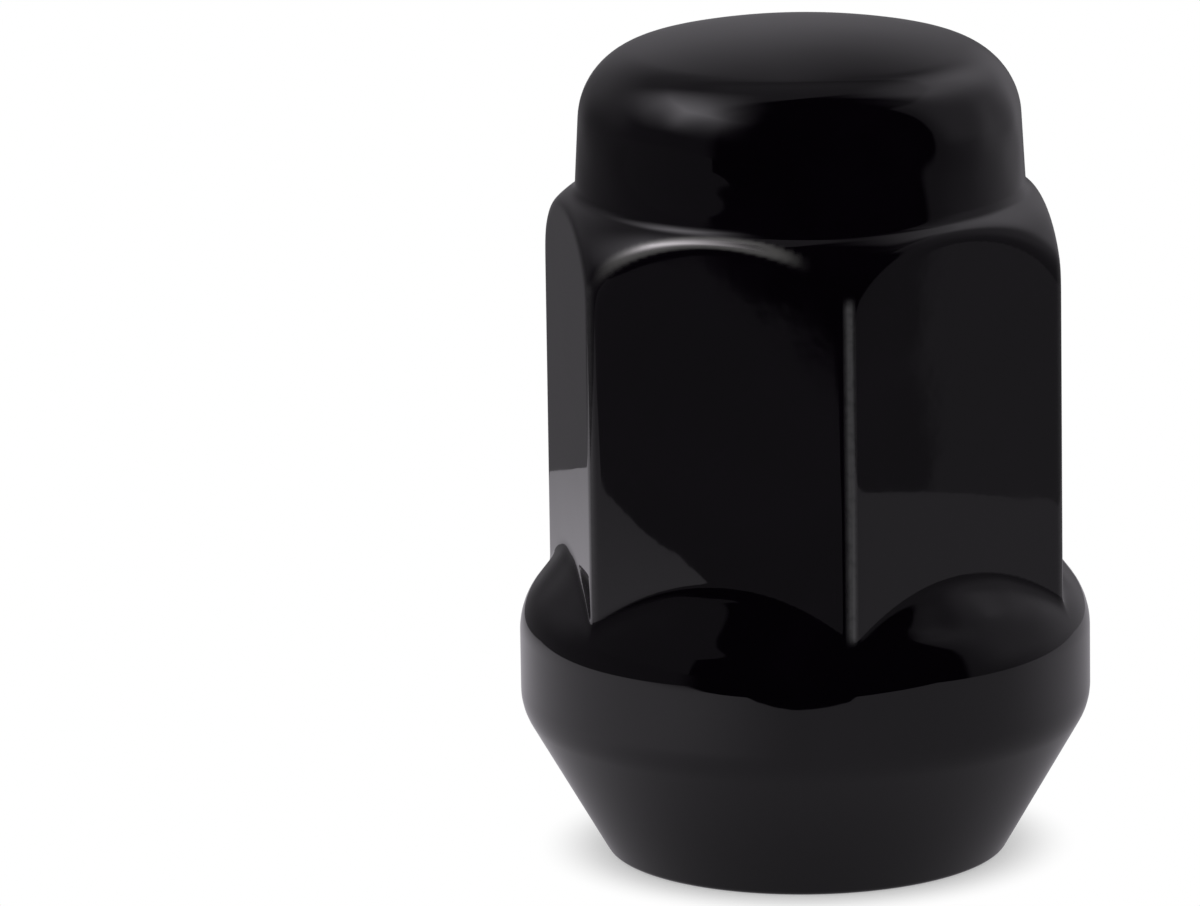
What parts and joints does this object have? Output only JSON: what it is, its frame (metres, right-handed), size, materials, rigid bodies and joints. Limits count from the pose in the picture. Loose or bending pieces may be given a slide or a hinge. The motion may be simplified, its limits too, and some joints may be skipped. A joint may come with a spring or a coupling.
{
  "type": "lug nut",
  "caption": "Closed-end conical-seat lug nut: a gloss black acorn nut with a hex, a domed cap, a flange above a cone seat and a blind threaded hole, for clamping a wheel to its hub.",
  "frame": {"origin": "centre of the foot ring, on the axis, at the open end of the stud hole", "axes": "+Z along the nut's axis from the foot ring to the domed cap; two hex corners lie on +X and -X, and two flats face +Y and -Y"},
  "size_m": [0.0228, 0.0228, 0.0335],
  "materials": {
    "coated_steel": "gloss black coating on steel, bare in the hole and on the foot ring"
  },
  "bodies": {
    "root": {"lug_nut": "coated_steel"}
  },
  "joints": []
}
